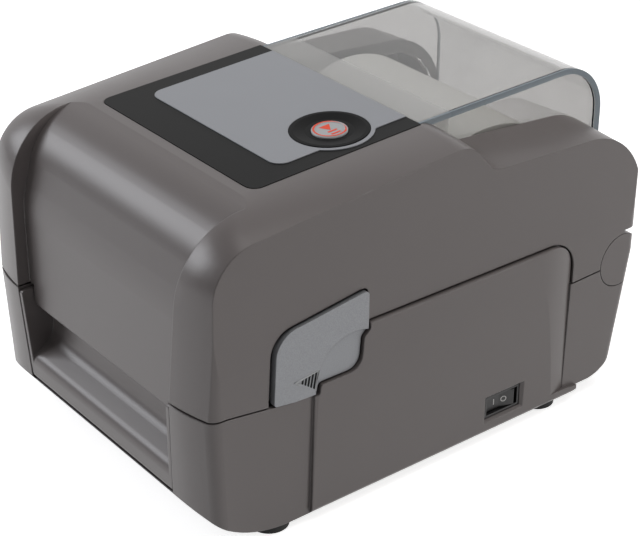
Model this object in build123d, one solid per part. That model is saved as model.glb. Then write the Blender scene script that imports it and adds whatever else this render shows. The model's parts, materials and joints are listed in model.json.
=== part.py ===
from build123d import *

import math
import os

# Desktop label printer. X is to the printer's right, Y to its rear, Z up.
# The origin is on the table under the middle of the printer. Millimetres.

# Spacing across the printer, outwards from the widest label, as half widths
ROLL_HALF = 56.0
PLATEN_HALF = ROLL_HALF + 2.0
HUB_X = (ROLL_HALF + 1.5, ROLL_HALF + 6.5)
TRAY_HALF = ROLL_HALF + 16.0
FRAME_X = (TRAY_HALF + 0.6, TRAY_HALF + 2.6)
GEAR_X = (-FRAME_X[1] - 6.4, -FRAME_X[1] - 1.4)
BRACKET_X = (TRAY_HALF + 1.0, TRAY_HALF + 6.4)
HINGE_ARM_X = (BRACKET_X[1] + 0.6, BRACKET_X[1] + 5.1)
KNUCKLE_X = HINGE_ARM_X[1] + 1.1  # inner face of the round hinge caps
BODY_HALF = KNUCKLE_X + 12.4  # side faces at the belt line

# Overall form
PANEL_PROUD = 2.0  # raised side panels of the lower case
FRONT_Y = -139.8
REAR_Y = 139.6
FOOT_HEIGHT = 4.0
WALL = 2.5
SEAM_GAP = 0.9  # dark line between the mouldings
RUN_GAP = 0.4  # between parts that move past each other
SHAFT_GAP = 0.05  # radial, shaft in its bush
FLOOR_Z = FOOT_HEIGHT + WALL
INNER_X = BODY_HALF - WALL
OUT_X = BODY_HALF + PANEL_PROUD
CUT_X = BODY_HALF + 20.0  # past both sides, for cuts right through

# Seam between the lower case and the cover, seen from the side
BELT_Z = 77.5
BELT_LOW = (-103.5, 74.3)  # lowest point, in front of the latch
PANEL_TOP_Z = 100.4
PANEL_FRONT_Y = -77.0
PANEL_REAR_Y = REAR_Y - 47.3
PANEL_ROLL_Y = PANEL_REAR_Y - 22.3  # the raised panel starts to roll inwards here
PANEL_ROLL_DEPTH = 3.2
PANEL_CORNER_R = 17.0
SKIRT_REAR_Z = 73.3  # seam behind the raised panel

# Hinge of the cover, on a line across the rear corners
HINGE_Y = REAR_Y - 10.6
HINGE_Z = 76.2
KNUCKLE_R = 15.0
HINGE_PIN_R = 3.0
HINGE_EYE_R = 5.4  # rounded end of the hinge arms

# Lower case
BASE_LEAN = 3.3  # the front leans back this far from belt to bottom
BASE_REAR_LEAN = 11.2
BASE_TAPER = 1.0
FLANK_SWEEP = 5.2  # the front flanks fall back this far to the corners
FLANK_FLAT_HALF = BODY_HALF - 17.0
FLANK_R = 55.0
CORNER_R = 7.0
REAR_CORNER_R = 5.5
UNDERSIDE_R = 65.0  # front of the underside
UNDERSIDE_Y = FRONT_Y + 49.8  # where it starts to rise
REAR_STEP_Y = REAR_Y - 38.9
REAR_STEP_HEIGHT = 4.0
REAR_BOTTOM_R = 22.0
REAR_WALL_Z = 86.0  # top of the rear wall between the hinges

# Cover
FRONT_SLOPE = 0.044  # lean of the front, per mm of height
TOP_Z_FRONT = 169.0  # height of the top surface at the panel's front edge
TOP_RISE = 0.0558  # slope of the top, per mm towards the rear
CROWN_HALF = ROLL_HALF + 8.0  # flat middle of the top
CROWN_DROP = 5.6  # drop of the crowned top at the side faces
CROWN_TILT = 0.036  # the drop grows towards the front, per mm
CROWN_EVEN_Y = -64.0  # where the drop has its named value
FRONT_TOP_R = 46.0  # big roll of the front into the top
FRONT_TOP_SIDE_R = 23.5  # the same roll at the side faces
STEP_Y = 13.0  # rear edge of the high front part
STEP_ROLL_Y = 19.5  # the same beside the window, before its edge is rounded
STEP_ROLL_R = 16.0
STEP_ANGLE = 50.0
STEP_R = 14.0
SHOULDER_Z = 159.8  # rear shoulders, inner edge at SHOULDER_Y
SHOULDER_SIDE_Z = 154.6  # the same at the side faces
SHOULDER_Y = 32.0
SHOULDER_FALL = 0.075
SHOULDER_REAR_R = 40.0
SIDE_DRAFT_Z = 100.0  # the cover's sides lean in above this height
SIDE_DRAFT = 0.031
COVER_REAR_Z = 93.4  # lower edge of the cover's rear wall
REAR_BAND_Z = 115.6  # top of the opaque band under the window
FLANGE_DEPTH = 8.0  # lips round the window opening
COVER_LOW_Z = 40.0  # the closed forms are built down to here, then cut

# Recess in the middle of the front, between the two flanks
RECESS_HALF = CROWN_HALF + 5.3
RECESS_TOP_HALF = CROWN_HALF + 11.0
RECESS_DEPTHS = [(6.6, 58.0), (8.8, 124.0), (17.8, 152.5), (31.8, 165.6), (49.8, 169.3)]
RECESS_FACE = [(FRONT_Y + depth, z) for depth, z in RECESS_DEPTHS]
RECESS_BENDS = [60.0, 34.0, 34.0]
LIP_Z = 67.7  # lower edge over the label exit
LIP_HALF = RECESS_HALF - 3.7
LIP_SHOULDER_Z = 80.0

# Window
WINDOW_THICK = 3.0
WINDOW_SIDE_X = CROWN_HALF - 1.6  # outer face of its side walls
WINDOW_SIDE_THICK = 2.4
WINDOW_LAP = 7.0  # the side walls reach this far below the shoulders
WINDOW_REAR_Y = REAR_Y + 0.2
WINDOW_REAR_R = 29.0
WINDOW_TOP_Z = (174.6, 178.6)
WINDOW_LOW_Z = 116.0

# Control panel on the cover
PANEL_Y = (-87.2, 12.8)
PANEL_HALF = CROWN_HALF + 1.0
PANEL_THICK = 0.8
PANEL_SUNK = 0.6
PANEL_R = 6.0  # its two front corners
PLATE_HALF = PANEL_HALF - 11.0
PLATE_FRONT_Y = -64.8
PLATE_R = 7.0
PLATE_PROUD = 0.4
RING_X = PLATE_HALF - 14.0
RING_Y = -23.2
RING_R = 20.0
RING_RIM = 2.1
RING_SLEEVE_R = 10.1
BUTTON_R = 9.0
BUTTON_HEIGHT = 0.9
BOARD_DEPTH = 11.0  # button board below the top surface

# Latches
LATCH_OUT_X = BODY_HALF + 1.4
LATCH_IN_X = BODY_HALF - 2.1
LATCH_FLANGE_X = (INNER_X - 3.5, INNER_X - 1.2)
LATCH_LAP = 2.4
LATCH_TRAVEL = 1.6
LATCH_FACE = [
    (-100.8, 75.0),
    (-98.8, 111.0),
    (-45.1, 118.1),
    (-45.1, 97.6),
    (-48.8, 94.2),
    (-50.2, 78.0),
    (-74.6, 78.0),
    (-75.2, 72.7),
    (-88.6, 73.3),
]
LATCH_CORNERS = [1.6, 13.0, 2.4, 1.2, 3.0, 7.5, 2.4, 0.8, 6.0]
LATCH_SCOOP = (-54.0, 76.0)  # centre of the thumb scoop
LATCH_SCOOP_R = 22.8
LATCH_PEGS = [(-90.0, 106.0), (-63.0, 109.0)]
LATCH_PEG_R = 1.9
SPRING_Y = (-82.0, -76.0)
SPRING_Z = (104.0, 110.0)
HOOK_Y = (-92.0, -84.0)
HOOK_Z = (58.0, 86.0)
CATCH_Y = (-80.0, -73.0)
CATCH_Z = (46.0, 68.0)

# Front door
DOOR_AXIS_Y = FRONT_Y + 5.0
DOOR_AXIS_Z = 27.2
DOOR_BARREL_R = 2.4
DOOR_PIN_R = 1.2
DOOR_TOP_HALF = RECESS_HALF - 0.6
DOOR_LOW_HALF = DOOR_TOP_HALF - 3.3
DOOR_LOW_Z = 25.0
DOOR_TOP_Z = 76.0
DOOR_SCOOP_Z = 58.0  # upper edge of the scooped face
DOOR_THICK = 2.4
DOOR_GAP = 0.6
TUNNEL_Y = FRONT_Y + 19.4  # rear end of the opening's side walls

# Power switch on the right side
SWITCH_Y = 47.7
SWITCH_Z = 19.0
SWITCH_HALF_Y = 12.2
SWITCH_HALF_Z = 6.6
SWITCH_BEVEL = 2.4
ROCKER_HALF = SWITCH_HALF_Y - 2.9
ROCKER_PIVOT_X = INNER_X - 3.5
ROCKER_AXLE_R = 1.3
ROCKER_TILT = 8.0

# Label roll and its two spring hubs
ROLL_Y = REAR_Y - 73.1
ROLL_Z = 100.0
ROLL_R = 56.0
CORE_R = 15.0
CORE_BORE_R = 12.7
HUB_NOSE_R = 12.3
HUB_NOSE_LENGTH = 14.0
ROD_Y = (ROLL_Y - 16.5, ROLL_Y + 16.5)
ROD_Z = 39.5
ROD_R = 2.5
RACK_Z = (37.0, 41.0)
RACK_END = -28.0
STUD_R = 2.0

# Media tray
TRAY_WALL = 2.5
TRAY_DIP = [(ROLL_Y - 32.5, 34.0), (ROLL_Y + 29.5, 34.0)]
TRAY_PATH = [(-96.0, 64.0), (-30.0, 64.0)] + TRAY_DIP + [(HINGE_Y - 5.0, 70.0)]
TRAY_BEND = 20.0

# Printing parts
PLATEN_Y = FRONT_Y + 31.8
PLATEN_Z = 60.0
PLATEN_R = 8.5
TEAR_Z = (PLATEN_Z + 1.0, PLATEN_Z + 6.6)
TEAR_PITCH = 4.0
TEAR_TOOTH = 1.8
SHAFT_R = 4.0
BUSH_R = 6.0
MODULE = 1.0
PLATEN_TEETH = 24
IDLER_TEETH = 36
MOTOR_TEETH = 12
PINION_TEETH = 13
IDLER_ANGLE = -20.0  # direction from platen to idler
MOTOR_ANGLE = -10.0  # direction from idler to motor
IDLER_STUD_R = 3.0
MOTOR_SHAFT_R = 2.5
MOTOR_SHAFT_END = -FRAME_X[0] + 17.6
MOTOR_HALF = 15.0
MOTOR_CAN_LENGTH = 34.6
HEAD_PIVOT_Y = PLATEN_Y + 24.0
HEAD_PIVOT_Z = 100.0
HEAD_PIVOT_R = 2.0
HEAD_GAP = 0.3  # between print head and platen with no label
HEAD_Y = (PLATEN_Y - 4.0, PLATEN_Y + 8.0)
BEAM_Z = (122.0, 126.0)

# Electronics
BOARD_Z = (27.0, 28.6)
BOARD_HALF = ROLL_HALF + 4.0
PORT_Y = (REAR_Y - 21.6, REAR_Y - 7.2)
BOARD_Y = (20.0, PORT_Y[0] + 2.0)
BOARD_SCREW_X = BOARD_HALF - 10.0
BOARD_SCREW_Y = (BOARD_Y[0] + 8.0, BOARD_Y[1] - 12.0)
BOARD_SCREWS = [(x, y) for x in (-BOARD_SCREW_X, BOARD_SCREW_X) for y in BOARD_SCREW_Y]
INLET_X = -40.0
INLET_Z = 35.2

FOOT_R = 10.0
FOOT_X = BODY_HALF - 12.0
FOOT_PLACES = [(x, y) for x in (-FOOT_X, FOOT_X) for y in (-95.0, 84.0)]
SCREW_X = BODY_HALF - 13.0
SCREW_PLACES = [(x, y) for x in (-SCREW_X, SCREW_X) for y in (-66.0, 66.0)]


def outline(points, radii):
    """Closed flat face with each corner rounded to its own radius."""
    return make_face(FilletPolyline(*points, radius=radii, close=True))


def polygon(points):
    """Closed flat face with sharp corners."""
    return make_face(Polyline(*points, close=True))


def side_slab(face, x_from, x_to):
    """Side view (y, z) made solid between two places along X."""
    placed = Plane.YZ.offset(x_from) * face
    return extrude(placed, amount=x_to - x_from, dir=(1, 0, 0))


def plan_slab(face, z_from, z_to):
    """Plan view (x, y) made solid between two heights."""
    placed = Plane.XY.offset(z_from) * face
    return extrude(placed, amount=z_to - z_from, dir=(0, 0, 1))


def front_slab(face, y_from, y_to):
    """Front view (x, z) made solid between two places along Y."""
    placed = Plane.XZ.offset(-y_from) * face
    return extrude(placed, amount=y_to - y_from, dir=(0, 1, 0))


def block(x, y, z):
    """Box between three pairs of limits."""
    size = (x[1] - x[0], y[1] - y[0], z[1] - z[0])
    middle = ((x[0] + x[1]) / 2, (y[0] + y[1]) / 2, (z[0] + z[1]) / 2)
    return Pos(*middle) * Box(*size)


def rod(radius, x_from, x_to, y, z):
    """Round bar along X."""
    length = x_to - x_from
    return Pos((x_from + x_to) / 2, y, z) * Rot(0, 90, 0) * Cylinder(radius, length)


def post(radius, x, y, z_from, z_to):
    """Round bar along Z."""
    return Pos(x, y, (z_from + z_to) / 2) * Cylinder(radius, z_to - z_from)


def both_sides(shape):
    """A right-hand piece with its mirror image on the left."""
    return shape + mirror(shape, about=Plane.YZ)


def left_of(shape):
    """The left-hand twin of a right-hand piece."""
    return mirror(shape, about=Plane.YZ)


def joined(shapes):
    """All the given solids as one shape."""
    whole = shapes[0]
    for shape in shapes[1:]:
        whole = whole + shape
    return whole


def top_z(y):
    """Height of the flat middle of the cover's top."""
    return TOP_Z_FRONT + (y - PANEL_Y[0]) * TOP_RISE


def crown_z(y, drop, tilt):
    """Height of the crowned top where it lies lower by the drop."""
    return top_z(y) - drop + tilt * (y - CROWN_EVEN_Y)


# Lower case


def body_plan(inset, front_shift=0.0, rear_shift=0.0, side_shift=0.0):
    """Plan outline of the printer at the belt line, or shifted inwards."""
    half = BODY_HALF - inset - side_shift
    front = FRONT_Y + inset + front_shift
    rear = REAR_Y - inset - rear_shift
    points = [
        (-half, rear),
        (-half, front + FLANK_SWEEP),
        (-FLANK_FLAT_HALF, front),
        (FLANK_FLAT_HALF, front),
        (half, front + FLANK_SWEEP),
        (half, rear),
    ]
    corner = CORNER_R - inset
    rear_corner = REAR_CORNER_R - inset
    return outline(points, [rear_corner, corner, FLANK_R, FLANK_R, corner, rear_corner])


def base_level(z, inset):
    """Plan of the lower case at one height, as a wire."""
    share = (BELT_Z - min(z, BELT_Z)) / (BELT_Z - FOOT_HEIGHT)
    plan = body_plan(inset, BASE_LEAN * share, BASE_REAR_LEAN * share, BASE_TAPER * share)
    return Pos(0, 0, z) * plan.wire()


def base_profile(inset):
    """Side view that trims the lower case: underside, step and rear curve."""
    top = PANEL_TOP_Z + 12
    floor = FOOT_HEIGHT + inset
    rear_low = REAR_Y - BASE_REAR_LEAN + 0.3 - inset
    lean = BASE_REAR_LEAN / (BELT_Z - FOOT_HEIGHT)
    step_floor = floor + REAR_STEP_HEIGHT
    profile = [
        (UNDERSIDE_Y - UNDERSIDE_R, floor),
        (REAR_STEP_Y - inset, floor),
        (REAR_STEP_Y + 1.5 - inset, step_floor),
        (rear_low + lean * (step_floor - FOOT_HEIGHT), step_floor),
        (rear_low + lean * (top - FOOT_HEIGHT), top),
        (UNDERSIDE_Y - UNDERSIDE_R, top),
    ]
    radii = [UNDERSIDE_R - inset, 1.2, 0, REAR_BOTTOM_R - inset, 0, 0]
    return side_slab(outline(profile, radii), -CUT_X, CUT_X)


def base_form(inset):
    """Outside of the lower case, or its hollow when inset by the wall."""
    top = PANEL_TOP_Z + 6
    body = Solid.make_loft([base_level(z, inset) for z in (FOOT_HEIGHT, BELT_Z + 2.2, top)], ruled=True)
    return body & base_profile(inset)


def seam_outline(lift):
    """Side view of all that lies above the seam, raised by a gap."""
    rear_z = SKIRT_REAR_Z + 1.4 + lift
    points = [
        (-200, BELT_Z + lift),
        (FRONT_Y + 12.8, BELT_Z + lift),
        (BELT_LOW[0], BELT_LOW[1] + lift),
        (PANEL_FRONT_Y + 1 - lift, 77.2 + lift),
        (PANEL_FRONT_Y + 15 - lift / 2, PANEL_TOP_Z + lift),
        (PANEL_REAR_Y + lift, PANEL_TOP_Z + lift),
        (PANEL_REAR_Y + lift, SKIRT_REAR_Z + lift),
        (HINGE_Y, rear_z),
        (200, rear_z),
        (200, 260),
        (-200, 260),
    ]
    radii = [0, 20, 12, 0, 0, PANEL_CORNER_R + lift, 0.6, 0, 0, 0, 0]
    return outline(points, radii)


def latch_outline(margin):
    """Side view of a latch, grown by a margin."""
    face = outline(LATCH_FACE, LATCH_CORNERS)
    if margin == 0:
        return face
    return offset(face, margin)


def latch_pocket():
    """Opening for the right-hand latch, with room for its travel."""
    room = side_slab(latch_outline(SEAM_GAP), BODY_HALF - 6, BODY_HALF + 6)
    return room + Pos(0, -LATCH_TRAVEL, 0) * room


def raised_panel():
    """Raised panel on the right side of the lower case."""
    side = [
        (PANEL_FRONT_Y - 1.6, 0),
        (PANEL_FRONT_Y, BELT_Z),
        (PANEL_FRONT_Y + 15, PANEL_TOP_Z),
        (PANEL_REAR_Y, PANEL_TOP_Z),
        (PANEL_REAR_Y, 10.0),
        (REAR_STEP_Y + 1.0, 9.0),
        (REAR_STEP_Y + 1.0, 0),
    ]
    panel = side_slab(outline(side, [0, 0, 0, PANEL_CORNER_R, 0, 0, 0]), INNER_X, OUT_X) & base_profile(0)
    draft = [
        (INNER_X, 0),
        (OUT_X - BASE_TAPER - 2, FOOT_HEIGHT),
        (OUT_X - BASE_TAPER, FOOT_HEIGHT + 2.5),
        (OUT_X, BELT_Z),
        (OUT_X, PANEL_TOP_Z - 0.8),
        (OUT_X - 0.8, PANEL_TOP_Z),
        (INNER_X, 110),
    ]
    panel = panel & front_slab(polygon(draft), -100, 110)
    start = PANEL_FRONT_Y - 5.5
    plan = [(0, start), (OUT_X - 2.2, start), (OUT_X, start + 7.5), (OUT_X, 110), (0, 110)]
    return panel & plan_slab(outline(plan, [0, 0, 4.0, 0, 0]), 0, 110)


def panel_roll():
    """Material taken off where the raised panel rolls in at the rear."""
    run = PANEL_REAR_Y - PANEL_ROLL_Y
    radius = (run**2 + PANEL_ROLL_DEPTH**2) / (2 * PANEL_ROLL_DEPTH)
    room = block((BODY_HALF - 1.5, OUT_X + 2), (PANEL_ROLL_Y, PANEL_REAR_Y), (10, 110))
    return room - post(radius, OUT_X - radius, PANEL_ROLL_Y, 0, 120)


def door_face(inset):
    """Front view of the door, shrunk or (negative) grown."""
    lean = (DOOR_TOP_HALF - DOOR_LOW_HALF) / (DOOR_TOP_Z - DOOR_LOW_Z)
    low = DOOR_LOW_HALF - inset
    high_z = 90
    high = low + lean * (high_z - DOOR_LOW_Z)
    low_z = DOOR_AXIS_Z - DOOR_BARREL_R + inset
    return polygon([(-low, low_z), (low, low_z), (high, high_z), (-high, high_z)])


def door_pin(radius, depth):
    """Both door pins, or their holes, reaching so deep into the door."""
    ends = (DOOR_LOW_HALF - depth, DOOR_LOW_HALF + DOOR_GAP + 2.2)
    return both_sides(rod(radius, *ends, DOOR_AXIS_Y, DOOR_AXIS_Z))


def switch_opening(half_y, half_z):
    """Side view rectangle round the power switch."""
    return Pos(SWITCH_Y, SWITCH_Z) * RectangleRounded(2 * half_y, 2 * half_z, 0.4)


def switch_recess():
    """Bevelled recess for the power switch in the right side."""
    grow = SWITCH_BEVEL
    wide = Plane.YZ.offset(OUT_X + 0.1) * switch_opening(SWITCH_HALF_Y + grow, SWITCH_HALF_Z + grow)
    deep = Plane.YZ.offset(OUT_X - grow) * switch_opening(SWITCH_HALF_Y, SWITCH_HALF_Z)
    bevel = Solid.make_loft([deep.wire(), wide.wire()], ruled=True)
    hole = side_slab(switch_opening(SWITCH_HALF_Y, SWITCH_HALF_Z), INNER_X - 4, OUT_X - grow)
    return bevel + hole


def rear_hole(radius, x, z, y_from, y_to):
    """Round bar along Y."""
    return Pos(x, (y_from + y_to) / 2, z) * Rot(90, 0, 0) * Cylinder(radius, y_to - y_from)


def port_openings():
    """Openings in the rear wall for the power inlet and the sockets."""
    y = (PORT_Y[1] - 8, REAR_Y + 2)
    usb = block((-12.4, 0.4), y, (28.4, 40.6))
    network = block((11.6, 28.4), y, (28.4, 43.0))
    serial = block((36.4, 67.4), y, (28.4, 41.6))
    return joined([rear_hole(5.6, INLET_X, INLET_Z, *y), usb, network, serial])


def base_shell():
    """Lower case with its bosses, ribs and openings."""
    panel = raised_panel()
    shell = base_form(0) + panel + left_of(panel)
    shell = shell - base_form(WALL)
    tunnel = front_slab(door_face(-DOOR_GAP - WALL), FRONT_Y, TUNNEL_Y) & base_form(0.5)
    shell = shell + (tunnel & block((-90, 90), (-150, TUNNEL_Y), (0, BELT_Z)))
    shell = shell - front_slab(door_face(-DOOR_GAP), FRONT_Y - 5, TUNNEL_Y + 5)
    rear_wall = block((-BRACKET_X[1], BRACKET_X[1]), (HINGE_Y, REAR_Y + 2), (60, REAR_WALL_Z))
    shell = shell - (side_slab(seam_outline(0), -CUT_X, CUT_X) - rear_wall)
    shell = shell - both_sides(rod(KNUCKLE_R + RUN_GAP, KNUCKLE_X - 1, BODY_HALF + 4, HINGE_Y, HINGE_Z))
    shell = shell - both_sides(latch_pocket()) - both_sides(panel_roll())
    shell = shell + hinge_pedestals() + rear_barrel()
    shell = shell + both_sides(block((INNER_X - 5.5, INNER_X + 1), CATCH_Y, CATCH_Z))
    for x, y in SCREW_PLACES:
        shell = shell + post(5.0, x, y, FLOOR_Z - 1, 20)
    for x, y in BOARD_SCREWS:
        shell = shell + post(3.5, x, y, FLOOR_Z - 1, BOARD_Z[0])
    for x in (4 - TRAY_HALF, TRAY_HALF - 4):
        for y in (-104, -50):
            shell = shell + post(4.0, x, y, FLOOR_Z - 1, BOARD_Z[0])
    for x, y in SCREW_PLACES:
        shell = shell - post(1.7, x, y, 0, 15) - post(3.7, x, y, 0, FOOT_HEIGHT + 1.6)
    shell = shell - switch_recess() - port_openings()
    return shell - door_pin(DOOR_PIN_R, 5.4)


def hinge_pedestals():
    """Supports under the round hinge caps, hollowed to take them."""
    stand = block((KNUCKLE_X + 1, INNER_X - 5), (HINGE_Y - 10, HINGE_Y - 0.5), (FLOOR_Z, 70))
    stand = stand & base_form(WALL / 2)
    return both_sides(stand - rod(KNUCKLE_R, KNUCKLE_X - 1, BODY_HALF, HINGE_Y, HINGE_Z))


def rear_barrel():
    """Curved top of the rear wall that closes the gap under the cover."""
    half = BRACKET_X[0] - 0.4
    ring = rod(KNUCKLE_R - 0.3, -half, half, HINGE_Y, HINGE_Z)
    ring = ring - rod(KNUCKLE_R - 2.8, -BODY_HALF, BODY_HALF, HINGE_Y, HINGE_Z)
    sector = polygon([(HINGE_Y, HINGE_Z), (HINGE_Y, 100), (REAR_Y, 100), (REAR_Y, HINGE_Z + KNUCKLE_R / 2)])
    return ring & side_slab(sector, -half, half)


def hinge_cap():
    """Round cap of the right-hand cover hinge."""
    cap = rod(KNUCKLE_R, KNUCKLE_X, BODY_HALF + 2, HINGE_Y, HINGE_Z) & base_form(0)
    return cap - rod(HINGE_PIN_R, KNUCKLE_X - 1, INNER_X, HINGE_Y, HINGE_Z)


def hinge_bracket():
    """Inner support of the right-hand hinge pin."""
    low = FLOOR_Z + REAR_STEP_HEIGHT
    y = HINGE_Y
    z = HINGE_Z
    side = [(y - 19, low), (y, low), (y + 5, z - 7.5), (y + 7, z + 2.5), (y - 7, z + 7), (y - 11, z - 7.5)]
    plate = side_slab(outline(side, [0, 0, 6, 6, 6, 6]), *BRACKET_X)
    foot = block((BRACKET_X[0] - 8, BRACKET_X[1]), (y - 21, y - 7), (low, low + 3))
    bracket = (plate + foot) & base_form(WALL)
    return bracket - rod(HINGE_PIN_R, BRACKET_X[0] - 1, BRACKET_X[1] + 1, HINGE_Y, HINGE_Z)


# Cover


def front_corner(drop, tilt):
    """Where the leaning front meets the sloping top, before rounding."""
    front_low = FRONT_Y + drop + FRONT_SLOPE * (COVER_LOW_Z - BELT_Z)
    reach = crown_z(0, drop, tilt)
    y = (front_low + FRONT_SLOPE * (reach - COVER_LOW_Z)) / (1 - FRONT_SLOPE * (TOP_RISE + tilt))
    return front_low, y


def cover_section(x, inset):
    """Side view of the cover at one distance from the middle, as a wire."""
    share = (x - CROWN_HALF) / (BODY_HALF - CROWN_HALF)
    drop = CROWN_DROP * share**2 + inset
    tilt = CROWN_TILT * share**2
    front_low, corner_y = front_corner(drop, tilt)
    step = STEP_ROLL_Y - inset * math.tan(math.radians(STEP_ANGLE / 2))
    step_top = crown_z(step, drop, tilt)
    steep = math.tan(math.radians(STEP_ANGLE))
    fall = SHOULDER_FALL * (1 - 0.55 * share)
    floor_z = SHOULDER_Z + (SHOULDER_SIDE_Z - SHOULDER_Z) * share - inset
    floor_y = (step_top - floor_z + steep * step - fall * SHOULDER_Y) / (steep - fall)
    rear = REAR_Y - inset
    points = [
        (x, front_low, COVER_LOW_Z),
        (x, corner_y, crown_z(corner_y, drop, tilt)),
        (x, step, step_top),
        (x, floor_y, floor_z - fall * (floor_y - SHOULDER_Y)),
        (x, rear, floor_z - fall * (rear - SHOULDER_Y)),
        (x, rear, COVER_LOW_Z),
    ]
    front_r = FRONT_TOP_R + (FRONT_TOP_SIDE_R - FRONT_TOP_R) * min(share, 1.0) - inset
    radii = [0, front_r, STEP_ROLL_R - inset, STEP_R + inset, SHOULDER_REAR_R - inset, 0]
    return FilletPolyline(*points, radius=radii, close=True).wire()


def cover_side(inset):
    """Right-hand part of the cover outside the flat middle."""
    stations = [CROWN_HALF, CROWN_HALF + 11, CROWN_HALF + 22, BODY_HALF + 4]
    wing = Solid.make_loft([cover_section(x, inset) for x in stations])
    side = BODY_HALF - inset
    height = 200.0
    lean = SIDE_DRAFT * (height - SIDE_DRAFT_Z)
    draft = [(0, 0), (side, 0), (side, SIDE_DRAFT_Z), (side - lean, height), (0, height)]
    wing = wing & front_slab(polygon(draft), -200, 200)
    return wing & plan_slab(body_plan(inset), 0, height)


def cover_middle(inset):
    """Flat middle of the cover's front and top, up to the window."""
    front_low, corner_y = front_corner(inset, 0)
    points = [
        (front_low, COVER_LOW_Z),
        (corner_y, top_z(corner_y) - inset),
        (STEP_Y, top_z(STEP_Y) - inset),
        (STEP_Y, COVER_LOW_Z),
    ]
    return side_slab(outline(points, [0, FRONT_TOP_R - inset, 0, 0]), -CROWN_HALF, CROWN_HALF)


def front_recess(inset):
    """Space in front of the recessed middle of the front."""
    face = [(y + inset, z - inset * 0.4) for y, z in RECESS_FACE]
    points = [(-170, face[0][1])] + face + [(-90, 200), (-170, 200)]
    side = side_slab(outline(points, [0, 0] + RECESS_BENDS + [0, 0, 0]), -CUT_X, CUT_X)
    low = RECESS_HALF + inset
    top = RECESS_TOP_HALF + inset
    front = [(-low, 40), (low, 40), (low, 80), (top, 170), (top, 190), (-top, 190), (-top, 170), (-low, 80)]
    return side & front_slab(polygon(front), -170, -60)


def window_lips():
    """Lip that hangs along the window opening, right-hand side."""
    rim = make_face(cover_section(CROWN_HALF, 0)) - make_face(cover_section(CROWN_HALF, FLANGE_DEPTH))
    lip = extrude(rim, amount=WALL, dir=(1, 0, 0))
    return lip & block((CROWN_HALF, CROWN_HALF + WALL), (STEP_Y - WALL, 150), (60, 190))


def cover_lip_room():
    """Where the recessed front may hang below the belt line."""
    low = [(-LIP_HALF, LIP_Z), (LIP_HALF, LIP_Z), (LIP_HALF, LIP_SHOULDER_Z), (-LIP_HALF, LIP_SHOULDER_Z)]
    return front_slab(outline(low, [4, 4, 0, 0]), FRONT_Y + 5.8, FRONT_Y + 10.8)


def cover_shell():
    """Cover with its front recess, window opening and mounting bosses."""
    outside = both_sides(cover_side(0)) + cover_middle(0)
    hollow = both_sides(cover_side(WALL)) + cover_middle(WALL)
    lip_half = CROWN_HALF + WALL
    lip_low = top_z(STEP_Y) - FLANGE_DEPTH
    front_lip = block((-lip_half, lip_half), (STEP_Y - WALL, STEP_Y + 2), (lip_low, 190))
    hollow = hollow - front_recess(WALL) - both_sides(window_lips()) - front_lip
    shell = outside - front_recess(0) - hollow
    shell = shell & (side_slab(seam_outline(SEAM_GAP), -CUT_X, CUT_X) + cover_lip_room())
    shell = shell - block((-CUT_X, CUT_X), (HINGE_Y + 1, 160), (0, COVER_REAR_Z))
    shell = shell + block((-CROWN_HALF, CROWN_HALF), (REAR_Y - WALL, REAR_Y), (COVER_REAR_Z, REAR_BAND_Z))
    shell = shell - both_sides(rod(KNUCKLE_R + RUN_GAP, BRACKET_X[0] - 3, BODY_HALF + 3, HINGE_Y, HINGE_Z))
    shell = shell - both_sides(latch_pocket())
    for y in (-20, 40, 92):
        shell = shell + both_sides(rod(4, HINGE_ARM_X[1], INNER_X + 0.4, y, 115))
    deck = panel_plane()
    shell = shell - extrude(deck * Pos(0, 0, -PANEL_SUNK) * panel_face(0.3), amount=2 * PANEL_SUNK)
    shell = shell - deck * Pos(RING_X, panel_local(RING_Y), 0) * Cylinder(RING_SLEEVE_R + 0.2, 12)
    for x in (RING_X - 14, RING_X + 14):
        for v in (50, 78):
            shell = shell + deck * Pos(x, v, -BOARD_DEPTH / 2 - 1) * Cylinder(2.2, BOARD_DEPTH - 2)
    return shell


def panel_plane():
    """Plane of the cover's top, measured from the panel's front edge."""
    return Plane(origin=(0, PANEL_Y[0], TOP_Z_FRONT), x_dir=(1, 0, 0), z_dir=(0, -TOP_RISE, 1))


def panel_local(y):
    """Distance along the top from the panel's front edge."""
    return (y - PANEL_Y[0]) * math.sqrt(1 + TOP_RISE**2)


def panel_face(margin):
    """Outline of the whole control panel, grown by a margin."""
    half = PANEL_HALF + margin
    rear = panel_local(PANEL_Y[1]) + margin
    corner = PANEL_R + margin
    return outline([(-half, -margin), (half, -margin), (half, rear), (-half, rear)], [corner, corner, 0, 0])


def plate_face():
    """Outline of the bright plate with its bulge round the button."""
    front = panel_local(PLATE_FRONT_Y)
    rear = panel_local(PANEL_Y[1])
    points = [(-PLATE_HALF, front), (PLATE_HALF, front), (PLATE_HALF, rear), (-PLATE_HALF, rear)]
    plate = outline(points, [PLATE_R, PLATE_R, 0, 0])
    return plate + Pos(RING_X, panel_local(RING_Y)) * Circle(RING_R + RING_RIM)


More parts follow.
